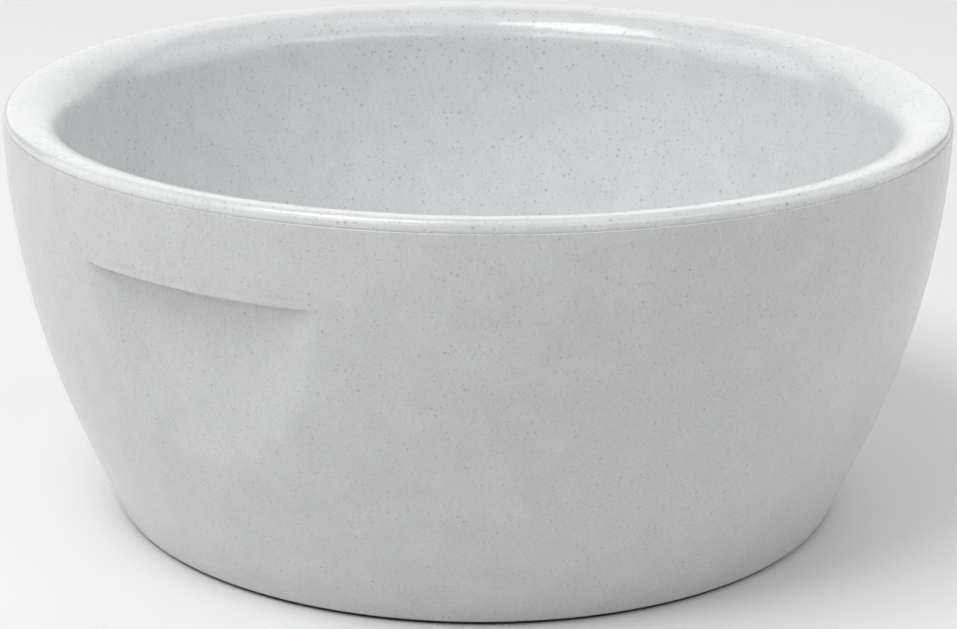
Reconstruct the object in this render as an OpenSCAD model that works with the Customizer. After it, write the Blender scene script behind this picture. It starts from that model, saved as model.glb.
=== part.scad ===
// Stoneware lather bowl with a thumb recess, on a non-slip ring.
// Millimetres, +Z up. The origin is the centre of the face it rests on; the front is -Y.

/* [Bowl] */
// Diameter across the lip, the widest place
rim_d = 127; // [115:1:140]
// Height from the table to the top of the lip
bowl_h = 55.8; // [52:0.2:62]
// Thickness of the wall, glaze included
wall_t = 7.7; // [7.2:0.1:8]
// Radius of the wall's outward swell, seen from the side
swell_r = 113; // [105:1:125]
// How far below the lip's top the swell stands upright
swell_drop = 1; // [0:0.1:1]
// Height of the straight cone at the bottom of the wall
cone_h = 10.7; // [8:0.1:14]
// Round at the wall's bottom edge
edge_round = 0.5; // [0.4:0.1:1]

/* [Lip] */
// Round on the outside of the lip
lip_outer_round = 1.3; // [1:0.1:1.5]
// Radius of the lip's broad crown, from the outer round inwards
crown_r = 8; // [6.5:0.5:9]
// Slope in degrees at which the crown gives way to the inner round
crown_lean = 25; // [20:1:33]

/* [Inside] */
// Thickness of the floor, glaze included
floor_t = 5; // [4:0.5:7]
// Round between the inside wall and the floor
bottom_round = 20; // [16:1:24]

/* [Thumb recess] */
// Angle of the recess from the front, towards the left
recess_angle = 32.8; // [0:0.2:60]
// Height of the ledge over the recess
ledge_z = 43.8; // [40:0.2:46]
// How far the recess runs down from its ledge
recess_h = 23.3; // [18:0.1:26]
// Width of the recess along its ledge
recess_w = 34.6; // [28:0.2:36]
// Radius of the hollow that a thumb rests in
hollow_r = 200; // [180:10:400]

/* [Glaze] */
// Thickness of each glaze coat
glaze_t = 0.3; // [0.2:0.05:0.4]
// How far below the lip's top the inner glaze stops on the outside
glaze_turn = 1.6; // [1.6:0.1:3]

/* [Foot] */
// How far the non-slip ring stands below the bowl's bottom edge
foot_gap = 0.5; // [0.4:0.1:1.2]
// How far the ring's outside is set in from the edge of the glaze
ring_inset = 0.15; // [0.1:0.05:2]
// Width of the non-slip ring
ring_w = 6; // [4:0.5:7]
// Round on the ring's two lower corners
ring_round = 0.3; // [0.1:0.1:0.5]
// Depth of the well under the floor, above the bare clay around it
well_h = 1.7; // [1:0.1:2]

/* [Hidden] */

round_fn = 180;
hollow_fn = 360;
arc_step = 15;
swell_steps = 12;
past = 1;

// Levels of the turned shape
rim_r = rim_d / 2;
under_z = foot_gap + glaze_t;
well_z = under_z + well_h;
floor_z = well_z + floor_t;
turn_z = bowl_h - glaze_turn;

// The swell is one arc that stands upright just under the lip's top
swell_x = rim_r - swell_r;
swell_z = bowl_h - swell_drop;
lip_z = bowl_h - lip_outer_round;
lip_lean = asin((swell_z - lip_z) / swell_r);
cone_z = foot_gap + cone_h;
cone_lean = asin((swell_z - cone_z) / swell_r);
inner_swell_r = swell_r - wall_t;

// Centre of the small round at the wall's bottom edge, tangent to the cone
edge_r = wall_r(cone_z) - cone_h * tan(cone_lean);
edge_x = edge_r + edge_round * tan(cone_lean) - edge_round / cos(cone_lean);
edge_z = foot_gap + edge_round;

// The lip's crown, and the inner round that runs on from it down to the inside wall
crown_x = rim_r - lip_outer_round;
crown_z = bowl_h - crown_r;
crown_end = [crown_x - swell_x - crown_r * sin(crown_lean), crown_z - swell_z + crown_r * cos(crown_lean)];
crown_out = [-sin(crown_lean), cos(crown_lean)];
inner_round = (crown_end * crown_end - pow(inner_swell_r, 2)) / 2 / (inner_swell_r + crown_end * crown_out);
inner_x = swell_x + crown_end.x - inner_round * crown_out.x;
inner_z = swell_z + crown_end.y - inner_round * crown_out.y;
inner_lean = asin((swell_z - inner_z) / (inner_swell_r + inner_round));

// Centre of the round between the inside wall and the floor
deep_z = floor_z + bottom_round;
deep_x = swell_x + sqrt(pow(inner_swell_r - bottom_round, 2) - pow(swell_z - deep_z, 2));
deep_lean = asin((swell_z - deep_z) / (inner_swell_r - bottom_round));

// The hollow runs out to the wall at the bottom of the recess, and is deepest under the ledge
recess_z = ledge_z - recess_h;
hollow_depth = pow(recess_w / 2, 2) / 2 * (1 / wall_r(ledge_z) + 1 / hollow_r);
hollow_lean = atan((wall_r(ledge_z) - hollow_depth - wall_r(recess_z)) / recess_h);

ring_r = edge_x - ring_inset;
ring_hole_r = ring_r - ring_w;
land_w = 1.5;
well_lean_w = 0.8;
well_r = ring_hole_r - land_w;

// Radius of the outside wall at height z, on the swell
function wall_r(z) = swell_x + sqrt(pow(swell_r, 2) - pow(swell_z - z, 2));

// Points on an arc about c, from angle a to angle b
function arc(c, r, a, b, steps) =
    [for (i = [0 : steps]) let (t = a + (b - a) * i / steps) c + r * [cos(t), sin(t)]];

// How many steps an arc of this many degrees takes
function steps(degrees) = max(2, ceil(abs(degrees) / arc_step));

// Outside of the wall, from its bottom edge up to the lip, sunk by in
function outside(in) = concat(
    arc([edge_x, edge_z], edge_round - in, -90, -cone_lean, steps(90 - cone_lean)),
    arc([swell_x, swell_z], swell_r - in, -cone_lean, -lip_lean, swell_steps));

// The lip, from the outside wall's top over to the inside wall, sunk by in
function lip(in) = concat(
    arc([crown_x, lip_z], lip_outer_round - in, 0, 90, 6),
    arc([crown_x, crown_z], crown_r - in, 90, 90 + crown_lean, 4),
    arc([inner_x, inner_z], inner_round - in, 90 + crown_lean, 180 - inner_lean, 6));

// The inside, from the lip down to the middle of the floor, sunk by in
function inside(in) = concat(
    arc([swell_x, swell_z], inner_swell_r + in, -inner_lean, -deep_lean, swell_steps),
    arc([deep_x, deep_z], bottom_round + in, -deep_lean, -90, 8),
    [[0, floor_z - in]]);

function reversed(points) = [for (i = [len(points) - 1 : -1 : 0]) points[i]];

// Cutter for the thumb recess, grown by out. Its round side is the hollow, its flat top the ledge
module thumb_cutter(out) {
    rotate([0, 0, -recess_angle])
        intersection() {
            translate([0, -wall_r(recess_z), recess_z])
                rotate([hollow_lean, 0, 0])
                    translate([0, -hollow_r, -bowl_h])
                        cylinder(r = hollow_r + out, h = 3 * bowl_h, $fn = hollow_fn);
            translate([-recess_w, -rim_r - past, foot_gap + edge_round])
                cube([2 * recess_w, rim_r / 2, ledge_z + out - foot_gap - edge_round]);
        }
}

// Fired clay: wall, lip, floor and foot in one piece. The ring is bonded to the foot's flat face
module stoneware_body() {
    color([0.72, 0.69, 0.64])
        difference() {
            rotate_extrude($fn = round_fn)
                polygon(concat(
                    [[0, well_z], [well_r - well_lean_w, well_z], [well_r, under_z]],
                    outside(glaze_t),
                    lip(glaze_t),
                    inside(glaze_t)));
            thumb_cutter(glaze_t);
        }
}

// Poured coat: floor, inside wall and over the lip to the top of the outside wall
module inner_glaze() {
    color([0.80, 0.82, 0.83])
        rotate_extrude($fn = round_fn)
            polygon(concat(
                [[wall_r(turn_z), turn_z]],
                lip(0),
                inside(0),
                reversed(inside(glaze_t)),
                reversed(lip(glaze_t)),
                [[wall_r(turn_z) - glaze_t, turn_z]]));
}

// The bowl's outer volume up to the inner glaze, with its recess, sunk by in
module outer_volume(in, extra) {
    difference() {
        intersection() {
            rotate_extrude($fn = round_fn)
                polygon(concat([[0, foot_gap - extra], [edge_x, foot_gap - extra]], outside(in), [[0, lip_z]]));
            translate([0, 0, foot_gap - past])
                cylinder(r = rim_r + past, h = turn_z - foot_gap + past + extra, $fn = round_fn);
        }
        thumb_cutter(in);
    }
}

// Sprayed coat on the outside wall, down to the bottom edge
module outer_glaze() {
    color([0.74, 0.75, 0.76])
        difference() {
            outer_volume(0, 0);
            outer_volume(glaze_t, past / 2);
        }
}

// Coat in the well under the floor
module well_glaze() {
    color([0.74, 0.75, 0.76])
        translate([0, 0, well_z - glaze_t])
            cylinder(r = well_r - well_lean_w, h = glaze_t, $fn = round_fn);
}

// Flat silicone ring under the bare clay, down past the bowl's bottom edge
module non_slip_ring() {
    color([0.06, 0.06, 0.065])
        rotate_extrude($fn = round_fn)
            polygon(concat(
                arc([ring_r - ring_round, ring_round], ring_round, -90, 0, 4),
                [[ring_r, under_z], [ring_hole_r, under_z]],
                arc([ring_hole_r + ring_round, ring_round], ring_round, 180, 270, 4)));
}

stoneware_body();
inner_glaze();
outer_glaze();
well_glaze();
non_slip_ring();
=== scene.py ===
"""Looks of the stoneware lather bowl: turned glaze coats with a pressed thumb recess, a fired clay
foot and a silicone ring, on a pale studio floor."""

import math

import bpy
from mathutils import Matrix, Vector


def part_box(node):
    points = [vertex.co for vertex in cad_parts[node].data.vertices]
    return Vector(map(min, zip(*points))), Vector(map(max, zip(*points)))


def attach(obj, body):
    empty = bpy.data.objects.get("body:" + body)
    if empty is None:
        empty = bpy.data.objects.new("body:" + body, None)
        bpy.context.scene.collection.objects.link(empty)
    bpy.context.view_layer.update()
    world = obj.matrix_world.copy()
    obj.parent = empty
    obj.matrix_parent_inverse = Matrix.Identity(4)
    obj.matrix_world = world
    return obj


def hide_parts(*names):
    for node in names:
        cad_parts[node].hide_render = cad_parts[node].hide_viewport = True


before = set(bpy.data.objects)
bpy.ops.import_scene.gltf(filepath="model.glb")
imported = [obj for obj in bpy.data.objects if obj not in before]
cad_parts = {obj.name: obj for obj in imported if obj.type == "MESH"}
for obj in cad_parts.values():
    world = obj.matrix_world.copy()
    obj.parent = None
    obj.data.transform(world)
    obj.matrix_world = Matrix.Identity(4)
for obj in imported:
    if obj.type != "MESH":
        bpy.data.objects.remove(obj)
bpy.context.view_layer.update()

MM = 0.001

# ---- sizes of the bowl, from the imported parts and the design's own dimensions ----

inner_low, inner_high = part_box("inner_glaze")
outer_low, outer_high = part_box("outer_glaze")
body_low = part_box("stoneware_body")[0]

RIM_R = inner_high.x
LIP_TOP = inner_high.z
BOTTOM_EDGE = outer_low.z
TURN_Z = outer_high.z
GLAZE_T = body_low.z - outer_low.z
FLOOR_Z = inner_low.z + GLAZE_T

WALL_T = 7.7 * MM
SWELL_R = 113 * MM
SWELL_DROP = 1 * MM
CONE_H = 10.7 * MM
EDGE_ROUND = 0.5 * MM
LIP_OUTER_ROUND = 1.3 * MM
CROWN_R = 8 * MM
CROWN_LEAN = math.radians(25)
BOTTOM_ROUND = 20 * MM

RECESS_ANGLE = math.radians(32.8)
LEDGE_Z = 43.8 * MM
RECESS_H = 23.3 * MM
RECESS_W = 34.6 * MM
HOLLOW_R = 200 * MM

# The sprayed coat stands proud of the poured one by this step, where they meet under the lip
COAT_STEP = 0.12 * MM
# Profile points closer than this are one point, and so are corners of the turned mesh
SAME_POINT = 0.002 * MM
WELD = 0.001 * MM

# The wall's swell is one arc that stands upright just under the lip's top
SWELL_X = RIM_R - SWELL_R
SWELL_Z = LIP_TOP - SWELL_DROP
INNER_SWELL_R = SWELL_R - WALL_T
CONE_LEAN = math.asin((SWELL_Z - BOTTOM_EDGE - CONE_H) / SWELL_R)


def wall_r(z, swell=SWELL_R):
    """Radius of the wall at height z, on the swell."""
    return SWELL_X + math.sqrt(swell**2 - (SWELL_Z - z) ** 2)


EDGE_R = wall_r(BOTTOM_EDGE + CONE_H) - CONE_H * math.tan(CONE_LEAN)
EDGE_X = EDGE_R + EDGE_ROUND * math.tan(CONE_LEAN) - EDGE_ROUND / math.cos(CONE_LEAN)
# The lip's crown, and the inner round that runs on from it down to the inside wall
CROWN_X = RIM_R - LIP_OUTER_ROUND
CROWN_Z = LIP_TOP - CROWN_R
CROWN_OUT = Vector((-math.sin(CROWN_LEAN), math.cos(CROWN_LEAN)))
CROWN_END = Vector((CROWN_X - SWELL_X, CROWN_Z - SWELL_Z)) + CROWN_R * CROWN_OUT
INNER_ROUND = (CROWN_END.length_squared - INNER_SWELL_R**2) / 2
INNER_ROUND = INNER_ROUND / (INNER_SWELL_R + CROWN_END.dot(CROWN_OUT))
INNER_X = SWELL_X + CROWN_END.x - INNER_ROUND * CROWN_OUT.x
INNER_Z = SWELL_Z + CROWN_END.y - INNER_ROUND * CROWN_OUT.y
INNER_LEAN = math.asin((SWELL_Z - INNER_Z) / (INNER_SWELL_R + INNER_ROUND))
DEEP_Z = FLOOR_Z + BOTTOM_ROUND
DEEP_X = SWELL_X + math.sqrt((INNER_SWELL_R - BOTTOM_ROUND) ** 2 - (SWELL_Z - DEEP_Z) ** 2)
DEEP_LEAN = math.asin((SWELL_Z - DEEP_Z) / (INNER_SWELL_R - BOTTOM_ROUND))

RECESS_Z = LEDGE_Z - RECESS_H
HOLLOW_DEPTH = (RECESS_W / 2) ** 2 / 2 * (1 / wall_r(LEDGE_Z) + 1 / HOLLOW_R)
HOLLOW_SLOPE = (wall_r(LEDGE_Z) - HOLLOW_DEPTH - wall_r(RECESS_Z)) / RECESS_H


# ---- profiles, as (radius, height) points ----


def arc(centre, r, start, end, spacing):
    """Points on an arc, from one angle to another in radians, about spacing apart."""
    count = max(3, math.ceil(abs(end - start) * r / spacing))
    turns = [start + (end - start) * i / count for i in range(count + 1)]
    return [(centre[0] + r * math.cos(t), centre[1] + r * math.sin(t)) for t in turns]


def straight(start, end, spacing):
    """Points on a line, both ends included, about spacing apart."""
    count = max(1, math.ceil(math.dist(start, end) / spacing))
    return [
        tuple(a + (b - a) * i / count for a, b in zip(start, end)) for i in range(count + 1)
    ]


def joined(*stretches):
    """One list from several, without the points that repeat where they meet."""
    points = []
    for stretch in stretches:
        for point in stretch:
            if not points or math.dist(points[-1], point) > SAME_POINT:
                points.append(point)
    return points


def swell_angle(z):
    """The angle on the swell's arc at height z."""
    return -math.asin((SWELL_Z - z) / SWELL_R)


def outside(sunk, top, spacing, ledge_spacing):
    """The outside wall from its bottom edge up to height top, with closer rows about the ledge."""
    r = SWELL_R - sunk
    band = LEDGE_BAND / 2
    low_edge, high_edge = LEDGE_Z + sunk - band, LEDGE_Z + sunk + band
    centre = (SWELL_X, SWELL_Z)
    foot = arc((EDGE_X, BOTTOM_EDGE + EDGE_ROUND), EDGE_ROUND - sunk,
               -math.pi / 2, -CONE_LEAN, 0.15 * MM)
    return joined(
        foot,
        straight(foot[-1], arc(centre, r, -CONE_LEAN, 0, r)[0], spacing),
        arc(centre, r, -CONE_LEAN, swell_angle(low_edge), spacing),
        arc(centre, r, swell_angle(low_edge), swell_angle(high_edge), ledge_spacing),
        arc(centre, r, swell_angle(high_edge), swell_angle(top), spacing),
    )


def over_lip(sunk, spacing):
    """The lip, from the outside wall's top over to the inside wall."""
    corner = LIP_OUTER_ROUND - COAT_STEP
    crown_end = math.pi / 2 + CROWN_LEAN
    return joined(
        arc((CROWN_X, LIP_TOP - corner), corner - sunk, 0, math.pi / 2, spacing / 2),
        arc((CROWN_X, CROWN_Z), CROWN_R - sunk, math.pi / 2, crown_end, spacing),
        arc((INNER_X, INNER_Z), INNER_ROUND - sunk, crown_end, math.pi - INNER_LEAN, spacing),
    )


def inside(sunk, spacing):
    """The inside, from the lip down to the middle of the floor."""
    r = INNER_SWELL_R + sunk
    return joined(
        arc((SWELL_X, SWELL_Z), r, -INNER_LEAN, -DEEP_LEAN, spacing),
        arc((DEEP_X, DEEP_Z), BOTTOM_ROUND + sunk, -DEEP_LEAN, -math.pi / 2, spacing),
        straight((DEEP_X, FLOOR_Z - sunk), (0, FLOOR_Z - sunk), spacing),
    )


# ---- fields: sums inside a node tree, written like ordinary arithmetic ----


class Field:
    """A number that a node tree works out at every point."""

    def __init__(self, tree, socket):
        self.tree = tree
        self.socket = socket

    def math(self, operation, *others):
        node = self.tree.nodes.new("ShaderNodeMath")
        node.operation = operation
        for slot, value in enumerate((self, *others)):
            plug(self.tree, value, node.inputs[slot])
        return Field(self.tree, node.outputs[0])

    def __add__(self, other):
        return self.math("ADD", other)

    def __sub__(self, other):
        return self.math("SUBTRACT", other)

    def __mul__(self, other):
        return self.math("MULTIPLY", other)

    def __truediv__(self, other):
        return self.math("DIVIDE", other)

    def smooth_step(self, low, high):
        """0 below low, 1 above high and a smooth rise between; high may be under low."""
        node = self.tree.nodes.new("ShaderNodeMapRange")
        node.interpolation_type = "SMOOTHSTEP"
        plug(self.tree, self, node.inputs["Value"])
        plug(self.tree, low, node.inputs["From Min"])
        plug(self.tree, high, node.inputs["From Max"])
        return Field(self.tree, node.outputs["Result"])

    def towards(self, other, share):
        """This number, moved towards other by share."""
        node = self.tree.nodes.new("ShaderNodeMix")
        node.data_type = "FLOAT"
        plug(self.tree, share, node.inputs["Factor"])
        plug(self.tree, self, node.inputs["A"])
        plug(self.tree, other, node.inputs["B"])
        return Field(self.tree, node.outputs["Result"])


def plug(tree, value, socket):
    """Links a field or socket, or sets a plain value."""
    if isinstance(value, Field):
        tree.links.new(value.socket, socket)
    elif isinstance(value, bpy.types.NodeSocket):
        tree.links.new(value, socket)
    else:
        socket.default_value = value


def node_of(tree, kind, **inputs):
    """A new node with the named inputs linked or set; spaces in a name are written as _."""
    node = tree.nodes.new(kind)
    for name, value in inputs.items():
        plug(tree, value, node.inputs[name.replace("_", " ")])
    return node


def split(tree, vector):
    """The x, y and z fields of a vector socket."""
    node = node_of(tree, "ShaderNodeSeparateXYZ", Vector=vector)
    return [Field(tree, socket) for socket in node.outputs]


def combined(tree, x, y, z):
    return node_of(tree, "ShaderNodeCombineXYZ", X=x, Y=y, Z=z).outputs["Vector"]


# ---- the wheel: one Geometry Nodes tree turns a profile, presses the recess and adds pebbles ----

# Rows this far about the ledge slide along it: down the wall, in under the ledge, down the hollow.
# The shares run from the band's top at 0 to its foot at 1
LEDGE_BAND = 2.4 * MM
WALL_ENDS = 0.42
INWARD_STARTS = 0.3
INWARD_ENDS = 0.7
HOLLOW_STARTS = 0.58
BAND_MARGIN = 0.001
# Depth of the hollow where the ledge begins to show, and where it is full
LEDGE_BEGINS = 0.1 * MM
LEDGE_FULL = 0.9 * MM
EDGE_SOFTNESS = 0.5 * MM
# Pebble noise stays below this, so the glaze never rises out of its solid
PEBBLE_TOP = 1.1

WHEEL_INPUTS = {
    "Around": ("NodeSocketInt", 360),
    "Pebble Height": ("NodeSocketFloat", 0.0),
    "Pebble Size": ("NodeSocketFloat", 3 * MM),
    "Seed": ("NodeSocketFloat", 1.0),
    "Recess Angle": ("NodeSocketFloat", RECESS_ANGLE),
    "Recess Bottom": ("NodeSocketFloat", RECESS_Z),
    "Bottom Radius": ("NodeSocketFloat", wall_r(RECESS_Z)),
    "Hollow Slope": ("NodeSocketFloat", HOLLOW_SLOPE),
    "Hollow Radius": ("NodeSocketFloat", HOLLOW_R),
    "Edge Softness": ("NodeSocketFloat", EDGE_SOFTNESS),
    "Ledge Height": ("NodeSocketFloat", LEDGE_Z),
    "Ledge Band": ("NodeSocketFloat", LEDGE_BAND),
    "Material": ("NodeSocketMaterial", None),
}


def turned_positions(tree, profile, around):
    """A grid with one row for each profile point, wrapped round the bowl's axis."""
    size = node_of(tree, "GeometryNodeAttributeDomainSize", Geometry=profile)
    rows = Field(tree, size.outputs["Point Count"])
    grid = node_of(tree, "GeometryNodeMeshGrid", Vertices_X=around + 1, Vertices_Y=rows)
    index = Field(tree, tree.nodes.new("GeometryNodeInputIndex").outputs[0])
    column = (index / rows).math("FLOOR")
    row = index.math("MODULO", rows)
    place = tree.nodes.new("GeometryNodeSampleIndex")
    place.data_type = "FLOAT_VECTOR"
    plug(tree, profile, place.inputs["Geometry"])
    plug(tree, tree.nodes.new("GeometryNodeInputPosition").outputs[0], place.inputs["Value"])
    plug(tree, row, place.inputs["Index"])
    radius, sunk, height = split(tree, place.outputs["Value"])
    angle = column * (2 * math.pi) / around
    return grid, radius, sunk, height, angle


def pressed_recess(tree, knob, x, y, z, sunk):
    """Presses the hollow and its ledge into the wall. Returns the moved x, y and z."""
    sine = knob["Recess Angle"].math("SINE")
    cosine = knob["Recess Angle"].math("COSINE")
    out = x * (sine * -1.0) - y * cosine
    side = x * cosine - y * sine
    rise = z - knob["Recess Bottom"]
    hollow = knob["Bottom Radius"] + knob["Hollow Slope"] * rise
    hollow = hollow + side * side / (knob["Hollow Radius"] * 2.0) - sunk
    pressed = out.math("SMOOTH_MIN", hollow, knob["Edge Softness"])
    depth = out - pressed
    ledge = knob["Ledge Height"] + sunk
    half = knob["Ledge Band"] / 2.0
    slide = (ledge + half - z) / knob["Ledge Band"]
    inward = slide.smooth_step(INWARD_STARTS, INWARD_ENDS)
    above = half * (slide.smooth_step(0.0, WALL_ENDS) * -1.0 + 1.0)
    below = half * slide.smooth_step(HOLLOW_STARTS, 1.0)
    path = ledge + above - below
    in_band = slide.smooth_step(-BAND_MARGIN, 0.0) * slide.smooth_step(1.0 + BAND_MARGIN, 1.0)
    under = depth.smooth_step(LEDGE_BEGINS, LEDGE_FULL)
    new_z = z.towards(path, under * in_band)
    new_out = out - depth * inward
    back_x = new_out * (sine * -1.0) + side * cosine
    back_y = new_out * (cosine * -1.0) - side * sine
    return back_x, back_y, new_z


def wheel_tree(name, recess):
    """The tree that makes one turned piece; recess says whether it has the thumb recess."""
    tree = bpy.data.node_groups.new(name, "GeometryNodeTree")
    tree.interface.new_socket(name="Profile", in_out="INPUT", socket_type="NodeSocketGeometry")
    tree.interface.new_socket(name="Piece", in_out="OUTPUT", socket_type="NodeSocketGeometry")
    for label, (kind, value) in WHEEL_INPUTS.items():
        socket = tree.interface.new_socket(name=label, in_out="INPUT", socket_type=kind)
        if value is not None:
            socket.default_value = value
    given = tree.nodes.new("NodeGroupInput")
    knob = {label: Field(tree, given.outputs[label]) for label in WHEEL_INPUTS}
    profile = given.outputs["Profile"]
    grid, radius, sunk, height, angle = turned_positions(tree, profile, knob["Around"])
    x = radius * angle.math("SINE")
    y = radius * angle.math("COSINE") * -1.0
    z = height
    if recess:
        x, y, z = pressed_recess(tree, knob, x, y, z, sunk)
    showing = sunk.smooth_step(GLAZE_T / 2, 0.0)
    kept = node_of(tree, "GeometryNodeStoreNamedAttribute", Geometry=grid.outputs["Mesh"],
                   Name="showing", Value=showing)
    turned = node_of(tree, "GeometryNodeSetPosition", Geometry=kept.outputs["Geometry"],
                     Position=combined(tree, x, y, z))
    closed = node_of(tree, "GeometryNodeMergeByDistance", Geometry=turned.outputs["Geometry"],
                     Distance=WELD)
    return tree, closed, knob


def finish_wheel(tree, closed, knob):
    """Pebbles the glaze along its normal and ends the tree."""
    pebbles = tree.nodes.new("ShaderNodeTexNoise")
    pebbles.noise_dimensions = "4D"
    plug(tree, knob["Pebble Size"].math("POWER", -1.0), pebbles.inputs["Scale"])
    plug(tree, knob["Seed"], pebbles.inputs["W"])
    showing = node_of(tree, "GeometryNodeInputNamedAttribute", Name="showing")
    height = (Field(tree, pebbles.outputs["Fac"]) - PEBBLE_TOP) * knob["Pebble Height"]
    height = height * Field(tree, showing.outputs["Attribute"])
    normal = tree.nodes.new("GeometryNodeInputNormal").outputs[0]
    lift = tree.nodes.new("ShaderNodeVectorMath")
    lift.operation = "SCALE"
    plug(tree, normal, lift.inputs[0])
    plug(tree, height, lift.inputs["Scale"])
    raised = node_of(tree, "GeometryNodeSetPosition", Geometry=closed.outputs["Geometry"],
                     Offset=lift.outputs["Vector"])
    smooth = node_of(tree, "GeometryNodeSetShadeSmooth", Geometry=raised.outputs["Geometry"])
    real = node_of(tree, "GeometryNodeRealizeInstances", Geometry=smooth.outputs["Geometry"])
    coated = node_of(tree, "GeometryNodeSetMaterial", Geometry=real.outputs["Geometry"],
                     Material=knob["Material"])
    plug(tree, coated.outputs["Geometry"], tree.nodes.new("NodeGroupOutput").inputs["Piece"])
    return tree


def turned(name, profile, material, recess=False, **knobs):
    """A plain closed mesh turned about the axis. A profile point is (radius, height, sunk)."""
    line = bpy.data.meshes.new(name + "_profile")
    line.from_pydata([(r, sunk, z) for r, z, sunk in profile], [], [])
    blank = bpy.data.objects.new(name + "_profile", line)
    bpy.context.scene.collection.objects.link(blank)
    tree = finish_wheel(*wheel_tree(name + "_wheel", recess))
    wheel = blank.modifiers.new("wheel", "NODES")
    wheel.node_group = tree
    socket_of = {
        item.name: item.identifier
        for item in tree.interface.items_tree
        if item.item_type == "SOCKET" and item.in_out == "INPUT"
    }
    wheel[socket_of["Material"]] = material
    for label, value in knobs.items():
        wheel[socket_of[label.replace("_", " ")]] = value
    made = blank.evaluated_get(bpy.context.evaluated_depsgraph_get())
    mesh = bpy.data.meshes.new_from_object(made)
    mesh.name = name
    bpy.data.objects.remove(blank)
    piece = bpy.data.objects.new(name, mesh)
    bpy.context.scene.collection.objects.link(piece)
    return piece


def coat_profile(shown, hidden):
    """One profile with its showing side marked 0 and its clay side marked sunk by the glaze."""
    return [(r, z, 0.0) for r, z in shown] + [(r, z, GLAZE_T) for r, z in hidden]


# ---- materials ----


def new_material(name):
    material = bpy.data.materials.new(name)
    material.use_nodes = True
    tree = material.node_tree
    shader = tree.nodes["Principled BSDF"]
    place = tree.nodes.new("ShaderNodeTexCoord").outputs["Object"]
    return material, tree, shader, place


def noise(tree, place, size, detail, roughness=0.5):
    """Noise with features of about this size, 0 to 1 about a middle of 0.5."""
    node = node_of(tree, "ShaderNodeTexNoise", Vector=place, Scale=1 / size, Detail=detail,
                   Roughness=roughness)
    return Field(tree, node.outputs["Fac"])


def specks(tree, place, cell, radius, share):
    """Specks, 1 in the middle and 0 outside; share is how many of the cells have one."""
    node = node_of(tree, "ShaderNodeTexVoronoi", Vector=place, Scale=1 / cell)
    node.feature = "F1"
    distance = Field(tree, node.outputs["Distance"])
    chance, strength, size = split(tree, node.outputs["Color"])
    reach = size * (radius / cell) + radius / cell * 0.5
    inside_speck = (distance / reach).smooth_step(1.0, 0.0)
    present = chance.math("LESS_THAN", share)
    return inside_speck * present * (strength * 0.7 + 0.3)


def mixed(tree, share, colour_a, colour_b):
    """Colour a moved towards colour b by share; each is a socket or an (r, g, b, a)."""
    node = tree.nodes.new("ShaderNodeMix")
    node.data_type = "RGBA"
    plug(tree, share, node.inputs["Factor"])
    plug(tree, colour_a, node.inputs[6])
    plug(tree, colour_b, node.inputs[7])
    return node.outputs[2]


def grey(level, cool=0.0):
    """A linear grey; cool moves it towards blue."""
    return (level * (1 - cool), level, level * (1 + cool), 1.0)


IRON = (0.10, 0.095, 0.09, 1.0)
MOTTLE = 0.07
WEAR = 0.06
GLAZE_IOR = 1.54


def speckled_glaze(name, base, cool, layers, gloss, ripple, ripple_size):
    """Fired glaze: soft mottling, layers of iron specks, and a skin that ripples slightly."""
    material, tree, shader, place = new_material(name)
    cloud = noise(tree, place, 5 * MM, 3.0, 0.6)
    grain = noise(tree, place, 0.45 * MM, 2.0, 0.6)
    shade = (cloud - 0.5) * 0.9 + (grain - 0.5) * 0.7 + 0.5
    thin, thick = grey(base * (1 - MOTTLE), cool), grey(base * (1 + MOTTLE), cool * 0.7)
    colour = mixed(tree, shade.smooth_step(0.0, 1.0), thin, thick)
    for cell, radius, share, depth in layers:
        spots = specks(tree, place, cell, radius, share)
        colour = mixed(tree, spots * depth, colour, IRON)
    plug(tree, colour, shader.inputs["Base Color"])
    wear = noise(tree, place, 4 * MM, 2.0)
    plug(tree, (wear - 0.5) * WEAR + gloss, shader.inputs["Roughness"])
    shader.inputs["IOR"].default_value = GLAZE_IOR
    skin = noise(tree, place, ripple_size, 2.0)
    bump = node_of(tree, "ShaderNodeBump", Height=skin * ripple, Distance=1.0, Strength=1.0)
    plug(tree, bump.outputs["Normal"], shader.inputs["Normal"])
    return material


def bare_clay():
    """Unglazed stoneware: warm, matt and sandy."""
    material, tree, shader, place = new_material("fired_clay")
    grain = noise(tree, place, 0.5 * MM, 4.0, 0.65)
    cloud = noise(tree, place, 7 * MM, 3.0)
    dark, light = (0.40, 0.36, 0.31, 1.0), (0.58, 0.54, 0.48, 1.0)
    toasted, burnt = (0.50, 0.44, 0.37, 1.0), (0.09, 0.07, 0.05, 1.0)
    colour = mixed(tree, grain.smooth_step(0.3, 0.75), dark, light)
    colour = mixed(tree, (cloud - 0.35) * 0.6, colour, toasted)
    spots = specks(tree, place, 1.0 * MM, 0.16 * MM, 0.5)
    colour = mixed(tree, spots * 0.7, colour, burnt)
    plug(tree, colour, shader.inputs["Base Color"])
    plug(tree, grain * 0.15 + 0.78, shader.inputs["Roughness"])
    bump = node_of(tree, "ShaderNodeBump", Height=grain * (0.06 * MM), Distance=1.0, Strength=1.0)
    plug(tree, bump.outputs["Normal"], shader.inputs["Normal"])
    return material


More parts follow.
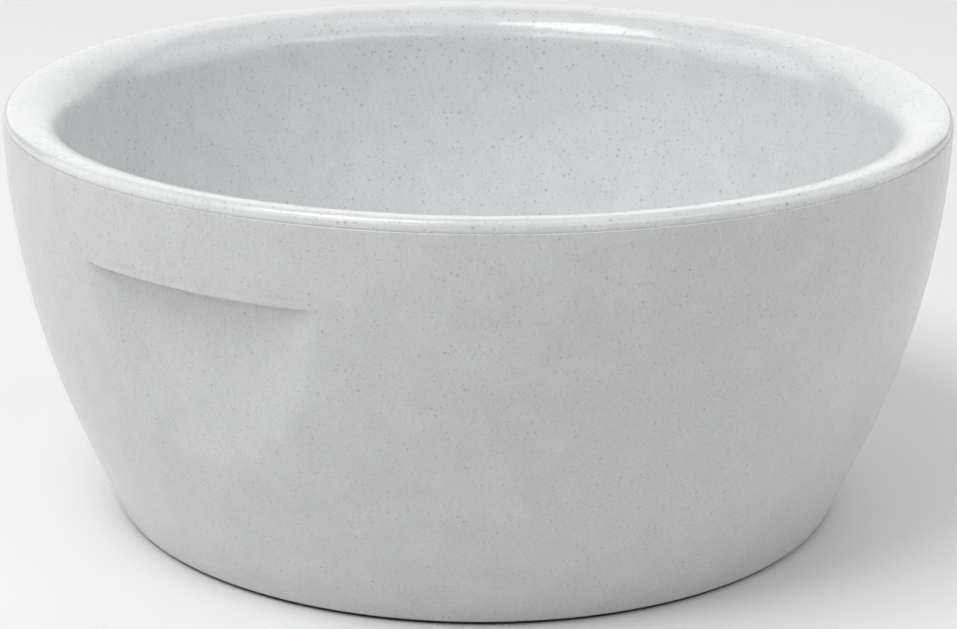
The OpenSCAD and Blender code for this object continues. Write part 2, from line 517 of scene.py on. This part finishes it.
def black_silicone():
    """Moulded silicone: near black, matt, with a fine bloom of dust."""
    material, tree, shader, place = new_material("black_silicone")
    bloom = noise(tree, place, 2.5 * MM, 4.0, 0.6)
    clean, dusty = (0.012, 0.012, 0.013, 1.0), (0.03, 0.03, 0.031, 1.0)
    colour = mixed(tree, bloom.smooth_step(0.45, 0.8), clean, dusty)
    plug(tree, colour, shader.inputs["Base Color"])
    plug(tree, bloom * 0.2 + 0.5, shader.inputs["Roughness"])
    stipple = noise(tree, place, 0.25 * MM, 1.0)
    bump = node_of(tree, "ShaderNodeBump", Height=stipple * (0.02 * MM), Distance=1.0, Strength=1.0)
    plug(tree, bump.outputs["Normal"], shader.inputs["Normal"])
    return material


# A speck layer is (cell, speck radius, share of cells, darkness)
INNER_SPECKS = [
    (0.90 * MM, 0.25 * MM, 0.65, 0.48),
    (0.42 * MM, 0.16 * MM, 0.60, 0.36),
]
OUTER_SPECKS = [
    (0.80 * MM, 0.18 * MM, 0.60, 0.50),
    (0.32 * MM, 0.13 * MM, 0.65, 0.42),
]
INNER_GLAZE = speckled_glaze("poured_glaze", 0.70, 0.012, INNER_SPECKS, 0.18, 0.05 * MM, 2.0 * MM)
OUTER_GLAZE = speckled_glaze("sprayed_glaze", 0.59, 0.008, OUTER_SPECKS, 0.22, 0.006 * MM, 0.8 * MM)
CLAY = bare_clay()
SILICONE = black_silicone()


# ---- pieces ----

# Spacing of the rows of a coat's showing side, by place, and of its hidden side
LIP_ROWS = 0.35 * MM
INSIDE_ROWS = 0.75 * MM
OUTSIDE_ROWS = 0.62 * MM
LEDGE_ROWS = 0.09 * MM
EDGE_ROWS = 0.06 * MM
HIDDEN_ROWS = 2.5 * MM
HIDDEN_LIP_ROWS = 0.8 * MM
HIDDEN_LEDGE_ROWS = 0.2 * MM


def inner_coat():
    """Poured coat: floor, inside wall and lip. Its outer edge tucks in behind the sprayed coat."""
    wall = RIM_R - COAT_STEP
    tuck_z = TURN_Z - GLAZE_T
    shown = joined([(wall, tuck_z)], over_lip(0.0, LIP_ROWS), inside(0.0, INSIDE_ROWS))
    hidden = joined(
        inside(GLAZE_T, HIDDEN_ROWS)[::-1],
        over_lip(GLAZE_T, HIDDEN_LIP_ROWS)[::-1],
        [(wall - GLAZE_T, tuck_z)],
    )
    profile = coat_profile(shown, hidden)
    # The line starts and ends on the axis, so both middles close to a point
    start = next(i for i, point in enumerate(profile) if point[2] > 0.0)
    profile = profile[start:] + profile[:start]
    piece = turned("inner_glaze_coat", profile, INNER_GLAZE, Around=440,
                   Pebble_Height=0.14 * MM, Pebble_Size=3.6 * MM, Seed=3.0)
    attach(piece, "root")
    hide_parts("inner_glaze")


def outer_coat():
    """Sprayed coat on the outside wall, with the thumb recess. Its top edge is rounded over."""
    soft = GLAZE_T / 2
    edge = (wall_r(TURN_Z) - soft, TURN_Z - soft)
    shown = joined(
        outside(0.0, TURN_Z - soft, OUTSIDE_ROWS, LEDGE_ROWS),
        arc(edge, soft, 0, math.pi / 2, EDGE_ROWS),
    )
    hidden = outside(GLAZE_T, TURN_Z, HIDDEN_ROWS, HIDDEN_LEDGE_ROWS)[::-1]
    profile = coat_profile(shown, hidden)
    profile.append(profile[0])
    piece = turned("outer_glaze_coat", profile, OUTER_GLAZE, recess=True, Around=600,
                   Pebble_Height=0.03 * MM, Pebble_Size=7 * MM, Seed=8.0)
    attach(piece, "root")
    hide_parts("outer_glaze")


inner_coat()
outer_coat()

FINISHES = {
    "stoneware_body": CLAY,
    "well_glaze": OUTER_GLAZE,
    "non_slip_ring": SILICONE,
}
for node_name, finish in FINISHES.items():
    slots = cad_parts[node_name].data.materials
    slots.clear()
    slots.append(finish)


# ---- studio ----


def pale_floor():
    side = 4.0
    mesh = bpy.data.meshes.new("studio_floor")
    corners = [(-side, -side, 0), (side, -side, 0), (side, side, 0), (-side, side, 0)]
    mesh.from_pydata(corners, [], [(0, 1, 2, 3)])
    floor = bpy.data.objects.new("studio_floor", mesh)
    bpy.context.scene.collection.objects.link(floor)
    material, tree, shader, place = new_material("pale_floor")
    shader.inputs["Base Color"].default_value = (0.85, 0.85, 0.85, 1.0)
    shader.inputs["Roughness"].default_value = 0.7
    mesh.materials.append(material)


def softbox(name, azimuth, elevation, distance, width, height, power, aim=(0, 0, 0.04)):
    """A rectangular lamp that faces aim. Azimuth 0 is the front, and it grows to the right."""
    lamp = bpy.data.lights.new(name, "AREA")
    lamp.shape = "RECTANGLE"
    lamp.size = width
    lamp.size_y = height
    lamp.energy = power
    thing = bpy.data.objects.new(name, lamp)
    bpy.context.scene.collection.objects.link(thing)
    a, e = math.radians(azimuth), math.radians(elevation)
    away = Vector((math.sin(a) * math.cos(e), -math.cos(a) * math.cos(e), math.sin(e)))
    spot = Vector(aim) + distance * away
    turn = (Vector(aim) - spot).to_track_quat("-Z", "Y").to_matrix().to_4x4()
    thing.matrix_world = Matrix.Translation(spot) @ turn
    thing.visible_camera = False
    return thing


def studio():
    softbox("backdrop", 180, 25, 1.2, 2.0, 1.0, 7.6)
    softbox("overhead", 0, 82, 1.2, 0.8, 0.8, 1.6)
    softbox("left_box", -38, 31, 1.0, 0.80, 0.22, 1.8)
    softbox("left_high", -50, 62, 1.0, 0.5, 0.5, 5.4)
    softbox("left_side", -95, 20, 1.0, 0.8, 1.0, 3.4)
    softbox("right_box", 40, 31, 1.0, 0.80, 0.22, 1.6)
    softbox("right_high", 62, 60, 1.0, 0.8, 0.8, 0.7)
    softbox("right_side", 98, 20, 1.0, 0.8, 1.0, 3.2)
    world = bpy.data.worlds.new("studio")
    bpy.context.scene.world = world
    world.use_nodes = True
    sky = world.node_tree.nodes["Background"]
    sky.inputs["Color"].default_value = (0.95, 0.97, 1.0, 1.0)
    sky.inputs["Strength"].default_value = 0.02


def camera():
    """A long lens looks down on the bowl from the front, with a slight roll."""
    lens = bpy.data.cameras.new("camera")
    lens.lens = 92.25
    lens.sensor_width = 36
    lens.shift_x = 0.002
    lens.clip_start = 0.01
    thing = bpy.data.objects.new("camera", lens)
    bpy.context.scene.collection.objects.link(thing)
    place = Vector((0, -0.3249, 0.1313))
    pitch, roll = math.radians(18.30), math.radians(0.51)
    turn = Matrix.Rotation(math.pi / 2 - pitch, 4, "X") @ Matrix.Rotation(roll, 4, "Z")
    thing.matrix_world = Matrix.Translation(place) @ turn
    bpy.context.scene.camera = thing


pale_floor()
studio()
camera()
bpy.context.scene.view_settings.view_transform = "Standard"
